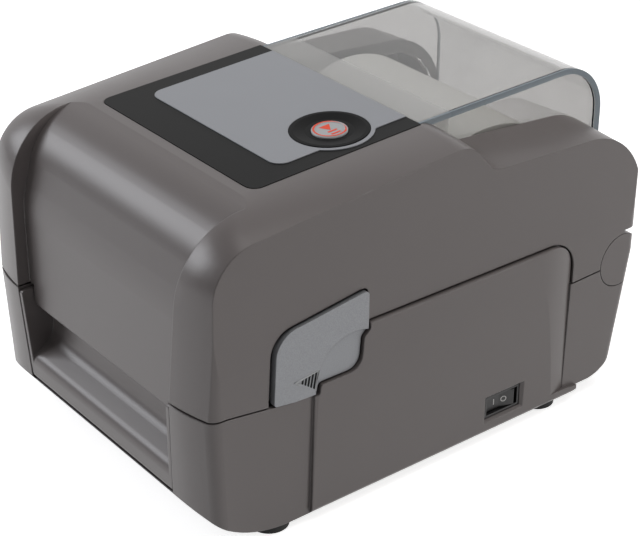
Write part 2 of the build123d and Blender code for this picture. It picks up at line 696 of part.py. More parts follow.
def panel_parts():
    """Black overlay, bright plate and the dished ring round the button."""
    deck = panel_plane()
    centre = Pos(RING_X, panel_local(RING_Y))
    low = Pos(0, 0, -PANEL_SUNK)
    overlay = extrude(deck * low * (panel_face(0) - plate_face()), amount=PANEL_THICK)
    bright = plate_face() - centre * Circle(RING_R)
    plate = extrude(deck * low * bright, amount=PANEL_THICK + PLATE_PROUD)
    top = PANEL_THICK - PANEL_SUNK + PLATE_PROUD + 0.3
    inner = BUTTON_R + RUN_GAP
    dish = [
        (inner, -4.5),
        (RING_SLEEVE_R, -4.5),
        (RING_SLEEVE_R, -PANEL_SUNK),
        (RING_R, -PANEL_SUNK),
        (RING_R, top - 0.5),
        (RING_R - 0.6, top),
        (RING_R - 2.4, top),
        (12.0, top - 0.9),
        (inner, top - 0.9),
    ]
    ring = revolve(Plane.XZ * polygon(dish), Axis.Z)
    return overlay, plate, deck * centre * ring


def play_button():
    """Round button with its stem."""
    profile = [
        (0, -BOARD_DEPTH + 1.4),
        (2.5, -BOARD_DEPTH + 1.4),
        (2.5, -5.0),
        (BUTTON_R, -5.0),
        (BUTTON_R, BUTTON_HEIGHT - 0.5),
        (BUTTON_R - 0.5, BUTTON_HEIGHT),
        (BUTTON_R - 1.6, BUTTON_HEIGHT),
        (BUTTON_R - 2.0, BUTTON_HEIGHT - 0.3),
        (0, BUTTON_HEIGHT - 0.5),
    ]
    body = revolve(Plane.XZ * polygon(profile), Axis.Z)
    return panel_plane() * Pos(RING_X, panel_local(RING_Y)) * body


def button_board():
    """Small circuit board under the button with its dome switch."""
    centre = panel_plane() * Pos(RING_X, panel_local(RING_Y))
    board = centre * Pos(0, 0, -BOARD_DEPTH - 0.8) * Box(36, 36, 1.6)
    return board + centre * Pos(0, 0, -BOARD_DEPTH + 0.1) * Cylinder(3.0, 0.2)


def window_solid(inset, low, half):
    """Closed form of the window's outside, shifted inwards."""
    front = STEP_Y + 0.4
    rear = WINDOW_REAR_Y - inset
    points = [(front, low), (front, WINDOW_TOP_Z[0] - inset), (rear, WINDOW_TOP_Z[1] - inset), (rear, low)]
    return side_slab(outline(points, [0, 0, WINDOW_REAR_R - inset, 0]), -half, half)


def clear_window():
    """Clear one-piece window: curved sheet with two side walls."""
    half = CROWN_HALF - 0.3
    whole = window_solid(0, WINDOW_LOW_Z, half)
    front_edge = block((-half, half), (STEP_Y, STEP_Y + 2.4), (top_z(STEP_Y) - FLANGE_DEPTH, 190))
    sheet = whole - window_solid(WINDOW_THICK, WINDOW_LOW_Z - 9, half + 5)
    sheet = sheet + (whole & front_edge)
    inner_x = WINDOW_SIDE_X - WINDOW_SIDE_THICK
    side = window_solid(1.0, WINDOW_LOW_Z, WINDOW_SIDE_X)
    side = side & block((inner_x, WINDOW_SIDE_X), (0, 150), (0, 200))
    low = make_face(cover_section(CROWN_HALF, WINDOW_LAP))
    below = extrude(Pos(-20, 0, 0) * low, amount=40, dir=(1, 0, 0))
    return sheet + both_sides(side - below)


# Moving parts on the outside


def latch_piece():
    """Right-hand release latch with guide flange and hook."""
    scoop = side_slab(Pos(*LATCH_SCOOP) * Circle(LATCH_SCOOP_R), LATCH_OUT_X - 1.2, LATCH_OUT_X + 2)
    body = side_slab(latch_outline(0), LATCH_IN_X, LATCH_OUT_X) - scoop
    neck = side_slab(latch_outline(-0.6), LATCH_FLANGE_X[1] - 0.1, LATCH_IN_X + 0.1)
    flange = side_slab(latch_outline(LATCH_LAP), *LATCH_FLANGE_X)
    flange = flange - block((CROWN_HALF, BODY_HALF), (-120, -75), (60, 77))
    arm = block(LATCH_FLANGE_X, HOOK_Y, HOOK_Z)
    tip = CATCH_Y[0] - 0.3
    root = HOOK_Y[1] - 1
    nose = polygon([(root, HOOK_Z[0]), (tip, HOOK_Z[0] + 2.4), (tip, HOOK_Z[0] + 5), (root, HOOK_Z[0] + 5)])
    tab = block((LATCH_FLANGE_X[0] - 4.5, LATCH_FLANGE_X[0] + 0.1), (SPRING_Y[1], SPRING_Y[1] + 2), SPRING_Z)
    piece = joined([body, neck, flange, arm, side_slab(nose, *LATCH_FLANGE_X), tab])
    for y, z in LATCH_PEGS:
        start = y - LATCH_PEG_R - 0.3
        end = y + LATCH_PEG_R + 0.3 + LATCH_TRAVEL
        half = LATCH_PEG_R + SHAFT_GAP
        slot = outline([(start, z - half), (end, z - half), (end, z + half), (start, z + half)], [1.8] * 4)
        piece = piece - side_slab(slot, LATCH_FLANGE_X[0] - 1, LATCH_FLANGE_X[1] + 0.6)
    return piece


def front_door():
    """Drop-down door with side cheeks and a scooped label exit."""
    low_y = DOOR_AXIS_Y - DOOR_BARREL_R
    y = FRONT_Y
    cheek = [
        (low_y, DOOR_AXIS_Z),
        (low_y + 4, DOOR_AXIS_Z - 0.2),
        (DOOR_AXIS_Y + 6, DOOR_AXIS_Z + 6),
        (y + 18.8, 44),
        (y + 18.8, DOOR_TOP_Z - 8),
        (y + 13.8, DOOR_TOP_Z),
        (low_y - 2.2, DOOR_TOP_Z),
    ]
    frame = front_slab(door_face(0), -150, -110)
    cheeks = side_slab(outline(cheek, [0, 0, 3, 8, 4, 4, 1.5]), -CUT_X, CUT_X)
    cheeks = cheeks & (frame - front_slab(door_face(DOOR_THICK), -150, -110))
    face = [(low_y, DOOR_AXIS_Z), (low_y - 0.5, 37.6), (y + 15.4, 46.0), (y + 16.9, DOOR_SCOOP_Z)]
    back = [(y + 19.1, DOOR_SCOOP_Z), (y + 17.8, 44.4), (low_y + 2.1, 34.5), (low_y + 2.4, DOOR_AXIS_Z)]
    wall = side_slab(outline(face + back, [0, 7, 9, 0.6, 0.6, 7, 5, 0]), -CUT_X, CUT_X) & frame
    half = DOOR_LOW_HALF - 0.2
    door = cheeks + wall + rod(DOOR_BARREL_R, -half, half, DOOR_AXIS_Y, DOOR_AXIS_Z)
    return door - door_pin(DOOR_PIN_R + SHAFT_GAP, 5.4)


def rocker():
    """Two-position rocker, rear half standing out."""
    half_z = SWITCH_HALF_Z - 2.0
    out = 4.6
    h = ROCKER_HALF
    points = [(3.4, 0.0), (out, h), (out - 3, h), (-2.4, 4), (-2.4, -4), (out - 3, -h), (out, -h)]
    face = Rot(0, 0, -ROCKER_TILT) * outline(points, [6, 0.8, 0.5, 1, 1, 0.5, 0.8])
    body = plan_slab(face, -half_z, half_z)
    axle = Cylinder(ROCKER_AXLE_R, 2 * half_z + 2.2)
    return Pos(ROCKER_PIVOT_X, SWITCH_Y, SWITCH_Z) * (body + axle)


def switch_housing():
    """Snap-in body of the power switch."""
    y = SWITCH_Y
    z = SWITCH_Z
    half_y = SWITCH_HALF_Y - 0.3
    half_z = SWITCH_HALF_Z - 0.3
    wall_y = half_y - 1.2
    wall_z = half_z - 1.3
    back = INNER_X - 14.5
    outer = block((back, BODY_HALF - 0.6), (y - half_y, y + half_y), (z - half_z, z + half_z))
    inner = block((back + 5, BODY_HALF + 1), (y - wall_y, y + wall_y), (z - wall_z, z + wall_z))
    axle = post(ROCKER_AXLE_R + SHAFT_GAP, ROCKER_PIVOT_X, y, z - half_z + 0.4, z + half_z - 0.4)
    blade = block((back - 6, back + 0.5), (y - 6.4, y - 5.6), (z - 2.4, z + 2.4))
    return outer - inner - axle + blade + Pos(0, 12, 0) * blade


# Label roll, hubs and tray


def gear_face(teeth, phase, bore):
    """Side of a spur gear; one tooth is centred at the phase angle."""
    pitch_r = MODULE * teeth / 2
    tip_r = pitch_r + 0.85 * MODULE
    root_r = pitch_r - 1.15 * MODULE
    tip_half = 0.42 * MODULE / tip_r
    root_half = 1.02 * MODULE / root_r
    corners = ((root_r, -root_half), (tip_r, -tip_half), (tip_r, tip_half), (root_r, root_half))
    points = []
    for k in range(teeth):
        middle = math.radians(phase) + 2 * math.pi * k / teeth
        for radius, angle in corners:
            points.append((radius * math.cos(middle + angle), radius * math.sin(middle + angle)))
    return polygon(points) - Circle(bore)


def gear_centres():
    """Centres and phases of the idler and motor gears."""
    first = (PLATEN_TEETH + IDLER_TEETH) * MODULE / 2
    second = (IDLER_TEETH + MOTOR_TEETH) * MODULE / 2
    a = math.radians(IDLER_ANGLE)
    b = math.radians(MOTOR_ANGLE)
    idler = (PLATEN_Y + first * math.cos(a), PLATEN_Z + first * math.sin(a))
    motor = (idler[0] + second * math.cos(b), idler[1] + second * math.sin(b))
    idler_phase = IDLER_ANGLE + 180 + 180 / IDLER_TEETH
    pitch = 360 / IDLER_TEETH
    off = (idler_phase - MOTOR_ANGLE + pitch / 2) % pitch - pitch / 2
    motor_phase = MOTOR_ANGLE + 180 - off * IDLER_TEETH / MOTOR_TEETH + 180 / MOTOR_TEETH
    return idler, motor, idler_phase, motor_phase


def rack_face(y_pitch, side, shift):
    """Plan of a toothed bar; side is +1 when the teeth point to +Y."""
    pitch = math.pi * MODULE
    root_y = y_pitch - side * 1.15
    tip_y = y_pitch + side * 0.85
    points = [(RACK_END, y_pitch - side * 5.0), (RACK_END, root_y)]
    for k in range(-5, 6):
        middle = k * pitch + shift
        points = points + [(middle - 1.05, root_y), (middle - 0.42, tip_y)]
        points = points + [(middle + 0.42, tip_y), (middle + 1.05, root_y)]
    points = points + [(HUB_X[0] + 1, root_y), (HUB_X[0] + 1, y_pitch - side * 5.0)]
    return polygon(points)


def media_hub(rack):
    """Right-hand hub carrier: upright, nose and guide boss, with its rack."""
    low = RACK_Z[0] - 1
    half = 16
    side = [
        (ROD_Y[0] - 6, low),
        (ROD_Y[1] + 6, low),
        (ROD_Y[1] + 6, 45),
        (ROLL_Y + half, ROLL_Z),
        (ROLL_Y + half, ROLL_Z + half),
        (ROLL_Y - half, ROLL_Z + half),
        (ROLL_Y - half, ROLL_Z),
        (ROD_Y[0] - 6, 45),
    ]
    plate = side_slab(outline(side, [1, 1, 4, 8, 15.5, 15.5, 8, 4]), *HUB_X)
    end = HUB_X[0] - HUB_NOSE_LENGTH
    nose = rod(HUB_NOSE_R, end, HUB_X[0] + 0.1, ROLL_Y, ROLL_Z)
    hub = plate + nose - rod(HUB_NOSE_R - 2, end - 1, HUB_X[1] - 2, ROLL_Y, ROLL_Z)
    slot = [(ROLL_Y - 8.5, 54), (ROLL_Y + 8.5, 54), (ROLL_Y + 8.5, 76), (ROLL_Y - 8.5, 76)]
    hub = hub - side_slab(outline(slot, [4] * 4), HUB_X[0] - 1, HUB_X[1] + 1)
    for y in ROD_Y:
        hub = hub - rod(ROD_R + SHAFT_GAP, HUB_X[0] - 1, HUB_X[1] + 1, y, ROD_Z)
    return hub + plan_slab(rack, *RACK_Z)


def hub_pinion_stud():
    """Shouldered stud that carries the pinion between the racks."""
    washer = post(3.2, 0, ROLL_Y, RACK_Z[1] + 0.1, RACK_Z[1] + 1.2)
    stud = post(STUD_R, 0, ROLL_Y, TRAY_PATH[2][1], RACK_Z[1] + 0.6)
    return stud + washer + post(1.6, 0, ROLL_Y, 31.5, 35)


def media_tray():
    """Guide tray under the label path, with side walls and posts."""
    lower = [(y, z - TRAY_WALL) for y, z in reversed(TRAY_PATH)]
    bends = [0, TRAY_BEND, TRAY_BEND, TRAY_BEND, 0]
    tray = side_slab(outline(TRAY_PATH + lower, bends + bends), -TRAY_HALF, TRAY_HALF)
    rim = lower[::-1] + [(HINGE_Y - 5, 74), (ROLL_Y + 23.5, 70), (20, 70), (-30, 72), (-96, 72)]
    wall = side_slab(outline(rim, bends + [2, 10, 10, 10, 4]), TRAY_HALF - TRAY_WALL, TRAY_HALF)
    tray = tray + both_sides(wall)
    for x in (6 - TRAY_HALF, TRAY_HALF - 6):
        tray = tray + post(3.5, x, -90, BOARD_Z[0] + 2, 63)
        tray = tray + post(3.5, x, -8, FLOOR_Z, 50)
        tray = tray + post(3.5, x, ROLL_Y + 27.5, FLOOR_Z, 33)
    for y in ROD_Y:
        tray = tray - rod(ROD_R, -TRAY_HALF + 0.5, TRAY_HALF - 0.5, y, ROD_Z)
    return tray - post(1.6, 0, ROLL_Y, 25, 40)


# Printing parts


def print_frame(idler, motor):
    """Bent sheet frame that carries platen, gears and motor."""
    y = PLATEN_Y
    front = y - BUSH_R - 4.2
    side = [(front, 46), (front, 71), (y + 10, 71), (y + 16, 60), (y + 68, 60), (y + 68, 27), (y - 4, 27)]
    cheek = side_slab(outline(side, [3, 3, 3, 5, 3, 0, 3]), *FRAME_X)
    floor = block((-FRAME_X[1], FRAME_X[1]), (y - 3, y + 66), (BOARD_Z[0], BOARD_Z[0] + 2))
    frame = both_sides(cheek) + floor
    frame = frame - rod(BUSH_R, -CUT_X, CUT_X, PLATEN_Y, PLATEN_Z)
    return frame - rod(IDLER_STUD_R, -CUT_X, 0, *idler) - rod(9.0, -CUT_X, 0, *motor)


def tear_bar():
    """Toothed steel edge in front of the platen."""
    half = FRAME_X[1]
    reach = ROLL_HALF
    points = [(-half, TEAR_Z[0]), (half, TEAR_Z[0]), (half, TEAR_Z[1])]
    for k in range(int(2 * reach / TEAR_PITCH)):
        x = reach - TEAR_PITCH * k
        points = points + [(x, TEAR_Z[1]), (x - TEAR_PITCH / 2, TEAR_Z[1] + TEAR_TOOTH)]
    points = points + [(-reach, TEAR_Z[1]), (-half, TEAR_Z[1])]
    front = PLATEN_Y - BUSH_R - 4.2
    return front_slab(polygon(points), front - 1.2, front)


def head_parts():
    """Carrier, heat sink, print head and pivot in the cover, with springs."""
    head_low = PLATEN_Z + PLATEN_R + HEAD_GAP
    y = HEAD_PIVOT_Y
    z = HEAD_PIVOT_Z
    side = [(y - 5, z + 5), (y + 5, z + 5), (y + 5, z - 5), (y - 10, z - 16), (y - 30, z - 16)]
    side = side + [(y - 30, z - 12), (y - 13, z - 12)]
    carrier = side_slab(outline(side, [4.5, 4.5, 4.5, 2, 1, 1, 3]), -PLATEN_HALF, PLATEN_HALF)
    carrier = carrier - rod(HEAD_PIVOT_R + SHAFT_GAP, -PLATEN_HALF - 1, PLATEN_HALF + 1, y, z)
    sink = block((1 - PLATEN_HALF, PLATEN_HALF - 1), (y - 30, y - 13), (72, z - 16))
    for groove in (y - 26, y - 21, y - 16):
        sink = sink - block((-PLATEN_HALF, PLATEN_HALF), (groove - 1.2, groove + 1.2), (76, z - 17))
    head = block((-ROLL_HALF, ROLL_HALF), HEAD_Y, (head_low, 72))
    pivot = rod(HEAD_PIVOT_R, -PLATEN_HALF - 8, PLATEN_HALF + 8, y, z)
    top = BEAM_Z[0]
    zig = [(y - 20, z - 12), (y - 14, z - 1), (y - 20, z + 10), (y - 14, top)]
    zig = zig + [(y - 12.9, top), (y - 18.8, z + 10), (y - 12.8, z - 1), (y - 18.8, z - 12)]
    return carrier, sink, head, pivot, both_sides(side_slab(polygon(zig), 24, 34))


def cover_frame():
    """Inner frame of the cover: hinge arms, beam and latch pegs."""
    side = [
        (HINGE_Y - HINGE_EYE_R - 1.2, HINGE_Z),
        (HINGE_Y - HINGE_EYE_R - 1.2, HINGE_Z - HINGE_EYE_R - 1.2),
        (HINGE_Y + HINGE_EYE_R, HINGE_Z - HINGE_EYE_R - 1.2),
        (HINGE_Y + HINGE_EYE_R, HINGE_Z + 0.5),
        (108, 118),
        (-45, 124),
        (-108, 126),
        (-108, 102),
        (-45, 104),
        (100, 104),
    ]
    arm = side_slab(outline(side, [0, 5.8, 5.2, 6, 12, 10, 3, 3, 10, 12]), *HINGE_ARM_X)
    arm = arm - rod(HINGE_PIN_R + SHAFT_GAP, HINGE_ARM_X[0] - 1, HINGE_ARM_X[1] + 1, HINGE_Y, HINGE_Z)
    front = HEAD_PIVOT_Y - 6
    rear = HEAD_PIVOT_Y + 6
    low = HEAD_PIVOT_Z - 6
    cheek = [(front, BEAM_Z[0] + 1), (front, low), (rear, low), (rear, BEAM_Z[0] + 1)]
    cheek = side_slab(outline(cheek, [0, 5, 5, 0]), PLATEN_HALF + 3, PLATEN_HALF + 8)
    half = arm + (cheek - rod(HEAD_PIVOT_R, PLATEN_HALF, BODY_HALF, HEAD_PIVOT_Y, HEAD_PIVOT_Z))
    for y, z in LATCH_PEGS:
        half = half + rod(3.4, HINGE_ARM_X[1] - 1, LATCH_FLANGE_X[0] - RUN_GAP, y, z)
        half = half + rod(LATCH_PEG_R, LATCH_FLANGE_X[0] - 1, LATCH_FLANGE_X[1] - 0.2, y, z)
    spring_seat = (HINGE_ARM_X[1] - 1, LATCH_FLANGE_X[0] - 1)
    half = half + block(spring_seat, (SPRING_Y[0] - 2, SPRING_Y[0]), SPRING_Z)
    beam = block((-HINGE_ARM_X[0] - 1, HINGE_ARM_X[0] + 1), (PLATEN_Y + 4, PLATEN_Y + 46), BEAM_Z)
    return both_sides(half) + beam


def latch_springs():
    """Bent leaf springs that push the latches back."""
    run = (SPRING_Y[1] - SPRING_Y[0]) / 4
    lower = [(SPRING_Y[0] + k * run, 106 + 2 * (k % 2)) for k in range(5)]
    upper = [(y, z + 1) for y, z in reversed(lower)]
    return both_sides(side_slab(polygon(lower + upper), LATCH_FLANGE_X[0] - 4, LATCH_FLANGE_X[0] - 1))


def drive_motor(centre):
    """Stepper motor with its flange and shaft bore."""
    can = Pos(*centre) * RectangleRounded(2 * MOTOR_HALF, 2 * MOTOR_HALF, 4)
    motor = side_slab(can, -FRAME_X[0], MOTOR_CAN_LENGTH - FRAME_X[0])
    motor = motor + rod(8.9, -FRAME_X[1], -FRAME_X[0] + 1, *centre)
    return motor - rod(MOTOR_SHAFT_R + SHAFT_GAP, GEAR_X[0], MOTOR_SHAFT_END, *centre)


# Electronics


def ports():
    """Power inlet and sockets at the rear of the main board."""
    y = PORT_Y
    low = BOARD_Z[1]
    inlet = block((INLET_X - 5, INLET_X + 5), (y[0], y[1] - 3), (low, 40.2))
    inlet = inlet + rear_hole(5.0, INLET_X, INLET_Z, y[1] - 4, y[1])
    inlet = inlet - rear_hole(3.2, INLET_X, INLET_Z, y[1] - 8, y[1] + 1)
    inlet = inlet + rear_hole(1.0, INLET_X, INLET_Z, y[1] - 9, y[1] - 1)
    usb = block((-12, 0), y, (low, 40)) - block((-10.2, -1.8), (y[1] - 8, y[1] + 1), (low + 2, 38.4))
    usb = usb + block((-8.5, -3.5), (y[1] - 9, y[1] - 1), (32.5, 36.0))
    network = block((12, 28), y, (low, 42.4)) - block((14, 26), (y[1] - 8, y[1] + 1), (low + 2, 40))
    flange = block((37, 67), (y[1] - 1.5, y[1]), (low, 41.2))
    body = block((43, 61), (y[0], y[1] - 1), (low, 39.5))
    rim = block((43.5, 60.5), (y[1] - 1, y[1] + 4), (30.8, 39.2))
    serial = flange + body + rim - block((44.3, 59.7), (y[1] - 3, y[1] + 5), (31.6, 38.4))
    return inlet, usb, network, serial


def main_board():
    """Main circuit board with its fixing holes and largest component."""
    board = block((-BOARD_HALF, BOARD_HALF), BOARD_Y, BOARD_Z)
    for x, y in BOARD_SCREWS:
        board = board - post(1.6, x, y, 20, 30)
    return board


def export(shape, name):
    """Write one node to its own file."""
    export_step(shape, f"parts/{name}.step")


def export_case():
    """Lower case, its hinge parts, feet and screws."""
    export(base_shell(), "base_shell")
    export(joined([post(FOOT_R, x, y, 0, FOOT_HEIGHT) for x, y in FOOT_PLACES]), "rubber_feet")
    heads = [post(3.5, x, y, FOOT_HEIGHT + 0.2, FOOT_HEIGHT + 1.6) for x, y in SCREW_PLACES]
    shanks = [post(1.7, x, y, FOOT_HEIGHT + 1, 15) for x, y in SCREW_PLACES]
    export(joined(heads + shanks), "case_screws")
    cap = hinge_cap()
    export(cap, "hinge_cap_right")
    export(left_of(cap), "hinge_cap_left")
    export(both_sides(hinge_bracket()), "hinge_brackets")
    export(both_sides(rod(HINGE_PIN_R, BRACKET_X[0], INNER_X, HINGE_Y, HINGE_Z)), "hinge_pins")
    export(front_door(), "front_door")
    export(door_pin(DOOR_PIN_R, 4.4), "door_pins")
    export(rocker(), "power_rocker")
    export(switch_housing(), "switch_housing")


def export_cover():
    """Cover, window, control panel, latches and inner frame."""
    export(cover_shell(), "cover_shell")
    export(clear_window(), "clear_window")
    overlay, plate, ring = panel_parts()
    export(overlay, "panel_overlay")
    export(plate, "panel_plate")
    export(ring, "button_ring")
    export(play_button(), "play_button")
    export(button_board(), "button_board")
    export(cover_frame(), "cover_frame")
    latch = latch_piece()
    export(latch, "latch_right")
    export(left_of(latch), "latch_left")
    export(latch_springs(), "latch_springs")


def export_media():
    """Label roll, its hubs and the tray under the label path."""
    export(media_tray(), "media_tray")
    export(joined([rod(ROD_R, -TRAY_HALF + 0.5, TRAY_HALF - 0.5, y, ROD_Z) for y in ROD_Y]), "hub_rods")
    pinion_r = MODULE * PINION_TEETH / 2
    near = rack_face(ROLL_Y - pinion_r, 1, math.pi * MODULE / 2)
    far = rack_face(ROLL_Y + pinion_r, -1, 0)
    export(media_hub(near), "media_hub_right")
    export(left_of(media_hub(far)), "media_hub_left")
    pinion = Pos(0, ROLL_Y) * gear_face(PINION_TEETH, -90, STUD_R + SHAFT_GAP)
    export(plan_slab(pinion, *RACK_Z), "hub_pinion")
    export(hub_pinion_stud(), "pinion_stud")
    core_hole = rod(CORE_R, -CUT_X, CUT_X, ROLL_Y, ROLL_Z)
    export(rod(ROLL_R, -ROLL_HALF, ROLL_HALF, ROLL_Y, ROLL_Z) - core_hole, "label_roll")
    core = rod(CORE_R, -ROLL_HALF - 0.4, ROLL_HALF + 0.4, ROLL_Y, ROLL_Z)
    export(core - rod(CORE_BORE_R, -CUT_X, CUT_X, ROLL_Y, ROLL_Z), "roll_core")


def export_printing():
    """Platen, gears, motor, tear bar and print head."""
    idler, motor, idler_phase, motor_phase = gear_centres()
    export(print_frame(idler, motor), "print_frame")
    export(drive_motor(motor), "drive_motor")
    export(rod(MOTOR_SHAFT_R, GEAR_X[0], MOTOR_SHAFT_END - 0.5, *motor), "motor_shaft")
    export(rod(IDLER_STUD_R, GEAR_X[0] - 0.5, -FRAME_X[0] + 1, *idler), "idler_stud")
    bush = rod(BUSH_R, *FRAME_X, PLATEN_Y, PLATEN_Z)
    bush = bush + rod(BUSH_R + 1.5, FRAME_X[0] - 1.5, FRAME_X[0], PLATEN_Y, PLATEN_Z)
    bush = bush - rod(SHAFT_R + SHAFT_GAP, FRAME_X[0] - 3, FRAME_X[1] + 1, PLATEN_Y, PLATEN_Z)
    export(both_sides(bush), "platen_bushes")
    export(rod(SHAFT_R, GEAR_X[0], FRAME_X[1] + 1, PLATEN_Y, PLATEN_Z), "platen_shaft")
    rubber = rod(PLATEN_R, -PLATEN_HALF, PLATEN_HALF, PLATEN_Y, PLATEN_Z)
    export(rubber - rod(SHAFT_R, -CUT_X, CUT_X, PLATEN_Y, PLATEN_Z), "platen_roller")
    gears = [
        ("platen_gear", PLATEN_TEETH, IDLER_ANGLE, SHAFT_R, (PLATEN_Y, PLATEN_Z)),
        ("idler_gear", IDLER_TEETH, idler_phase, IDLER_STUD_R + SHAFT_GAP, idler),
        ("motor_pinion", MOTOR_TEETH, motor_phase, MOTOR_SHAFT_R, motor),
    ]
    for name, teeth, phase, bore, centre in gears:
        export(side_slab(Pos(*centre) * gear_face(teeth, phase, bore), *GEAR_X), name)
    export(tear_bar(), "tear_bar")
    carrier, sink, head, pivot, springs = head_parts()
    export(carrier, "head_carrier")
    export(sink, "heat_sink")
    export(head, "print_head")
    export(pivot, "head_pivot")
    export(springs, "head_springs")
    export(block((12, 28), (-90, -78), (64, 66.5)), "label_sensor")


def export_electronics():
    """Main board with the power inlet and the sockets."""
    inlet, usb, network, serial = ports()
    export(main_board(), "main_board")
    export(inlet, "power_inlet")
    export(usb, "usb_socket")
    export(network, "network_socket")
    export(serial, "serial_socket")


def main():
    os.makedirs("parts", exist_ok=True)
    export_case()
    export_cover()
    export_media()
    export_printing()
    export_electronics()


main()
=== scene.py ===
# %% [markdown]
# A desktop label printer with a clear window over its roll.
# Its solid parts arrive ready made, at their real size, in one fixed frame:
# +X to the printer's right, +Y to its rear, +Z up, metres.
# This lesson gives each part its finish and adds the small printed and moulded
# details. Nothing that is loaded here is moved or reshaped.

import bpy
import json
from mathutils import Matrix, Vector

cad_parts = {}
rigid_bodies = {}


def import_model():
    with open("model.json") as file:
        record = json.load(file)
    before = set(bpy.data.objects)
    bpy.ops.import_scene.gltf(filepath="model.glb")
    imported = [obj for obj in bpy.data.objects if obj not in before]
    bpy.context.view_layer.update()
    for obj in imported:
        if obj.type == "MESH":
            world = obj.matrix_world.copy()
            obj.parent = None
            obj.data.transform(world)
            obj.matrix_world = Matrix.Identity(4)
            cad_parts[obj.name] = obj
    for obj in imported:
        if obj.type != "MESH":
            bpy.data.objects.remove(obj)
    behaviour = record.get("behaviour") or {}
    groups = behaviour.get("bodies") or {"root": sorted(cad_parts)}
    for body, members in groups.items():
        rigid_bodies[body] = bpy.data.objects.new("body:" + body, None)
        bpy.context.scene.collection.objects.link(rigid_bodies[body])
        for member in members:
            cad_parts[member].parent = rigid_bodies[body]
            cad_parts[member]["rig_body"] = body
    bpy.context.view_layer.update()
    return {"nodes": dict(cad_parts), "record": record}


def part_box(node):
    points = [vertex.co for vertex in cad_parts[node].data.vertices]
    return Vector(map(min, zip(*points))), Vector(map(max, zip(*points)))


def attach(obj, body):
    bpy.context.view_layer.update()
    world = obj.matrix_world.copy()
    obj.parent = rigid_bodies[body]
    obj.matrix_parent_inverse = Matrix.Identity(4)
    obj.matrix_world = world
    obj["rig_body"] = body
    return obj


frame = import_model()

# %% Imports and units
import json
import math

import bpy
from mathutils import Matrix, Vector

MM = 0.001
nodes = frame["nodes"]
scene = bpy.context.scene
scene.view_settings.view_transform = "Standard"

# %% [markdown]
# The camera stands where the photographer stood. Its direction was solved from
# the printer's straight edges, so it could be set by an empty and a Track To
# constraint, but three angles and a place are exact and easy to change.

# %% Camera
AZIMUTH = math.radians(51.95)
ELEVATION = math.radians(28.62)
ROLL = math.radians(0.18)
CAMERA_PLACE = Vector((0.6554, -0.5111, 0.5260))
LENS = 100.6  # millimetres, on the default 36 mm wide sensor

back = Vector((
    math.sin(AZIMUTH) * math.cos(ELEVATION),
    -math.cos(AZIMUTH) * math.cos(ELEVATION),
    math.sin(ELEVATION),
))
level_right = Vector((math.cos(AZIMUTH), math.sin(AZIMUTH), 0))
level_up = back.cross(level_right)
right = level_right * math.cos(ROLL) + level_up * math.sin(ROLL)
up = level_up * math.cos(ROLL) - level_right * math.sin(ROLL)

lens = bpy.data.cameras.new("camera")
lens.lens = LENS
lens.shift_x = 0.0017
lens.shift_y = -0.0007
lens.clip_start = 0.05
camera = bpy.data.objects.new("camera", lens)
scene.collection.objects.link(camera)
camera.matrix_world = Matrix.Translation(CAMERA_PLACE) @ Matrix((right, up, back)).transposed().to_4x4()
scene.camera = camera
print("camera", round(CAMERA_PLACE.length, 3), "m from the origin")

# %% [markdown]
# Every finish below is a small network of shader nodes. Linking nodes one by one
# hides what they compute, so the sums are written as Python expressions instead.
# A Signal wraps one socket, and each operator on it adds the Math node that does
# that sum. The reflected forms let a plain number stand on the left, as in
# 1 - mask, and a comparison gives a mask that is 1 where it holds and 0 elsewhere.

# %% Shader sums
def plug(tree, socket, value):
    """Links a Signal to a socket, or sets the socket's own value."""
    if isinstance(value, Signal):
        tree.links.new(value.socket, socket)
    else:
        socket.default_value = value


class Signal:
    """A node's output, used like a number."""

    def __init__(self, tree, socket):
        self.tree = tree
        self.socket = socket

    def math(self, operation, first, second):
        node = self.tree.nodes.new("ShaderNodeMath")
        node.operation = operation
        plug(self.tree, node.inputs[0], first)
        plug(self.tree, node.inputs[1], second)
        return Signal(self.tree, node.outputs[0])

    def __add__(self, other):
        return self.math("ADD", self, other)

    def __radd__(self, other):
        return self.math("ADD", other, self)

    def __sub__(self, other):
        return self.math("SUBTRACT", self, other)

    def __rsub__(self, other):
        return self.math("SUBTRACT", other, self)

    def __mul__(self, other):
        return self.math("MULTIPLY", self, other)

    def __rmul__(self, other):
        return self.math("MULTIPLY", other, self)

    def __gt__(self, other):
        return self.math("GREATER_THAN", self, other)

    def __lt__(self, other):
        return self.math("LESS_THAN", self, other)

    def unsigned(self):
        return self.math("ABSOLUTE", self, 0.0)

    def parts(self):
        """The three coordinates of a place."""
        node = self.tree.nodes.new("ShaderNodeSeparateXYZ")
        self.tree.links.new(self.socket, node.inputs[0])
        return [Signal(self.tree, output) for output in node.outputs]


print("sums ready")

# %% [markdown]
# A Finish is one material being built. Its add method makes any other node: the
# node's settings are set first, because some of them change its sockets, and
# then the values or links go to the sockets by name or number. Colours are mixed
# with a Mix node, since a Math node would turn them grey.

# %% Material builder
def colour(red, green, blue):
    """A display colour, 0 to 255, as the linear colour that shaders use."""
    linear = [c / 12.92 if c <= 0.04045 else ((c + 0.055) / 1.055) ** 2.4
              for c in (red / 255, green / 255, blue / 255)]
    return (*linear, 1.0)


SEAM_SHADE = colour(14, 12, 11)


